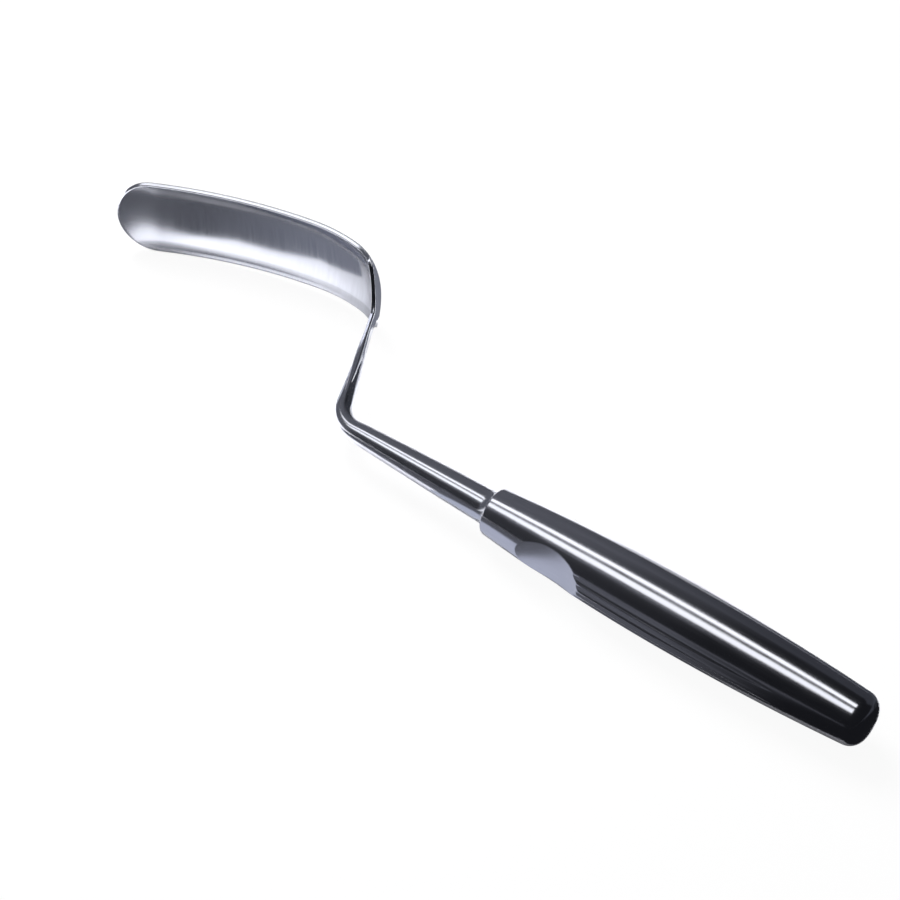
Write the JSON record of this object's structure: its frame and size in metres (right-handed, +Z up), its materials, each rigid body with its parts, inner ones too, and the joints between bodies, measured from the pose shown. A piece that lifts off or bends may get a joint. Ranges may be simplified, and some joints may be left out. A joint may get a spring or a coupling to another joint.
{
  "type": "handheld surgical retractor",
  "caption": "Handheld retractor with a spoon-like trough blade on a cranked neck and a fluted steel grip, for drawing tissue aside.",
  "frame": {"origin": "under the middle of its bounding box, on the surface that it lies on", "axes": "+X along the grip towards its butt, +Y towards the side that the blade is cranked to, +Z up"},
  "size_m": [0.3022, 0.0668, 0.0302],
  "materials": {
    "grip_steel": "fine satin",
    "blade_steel": "polished"
  },
  "bodies": {
    "root": {"fluted_grip": "grip_steel", "blade_and_shank": "blade_steel"}
  },
  "joints": []
}
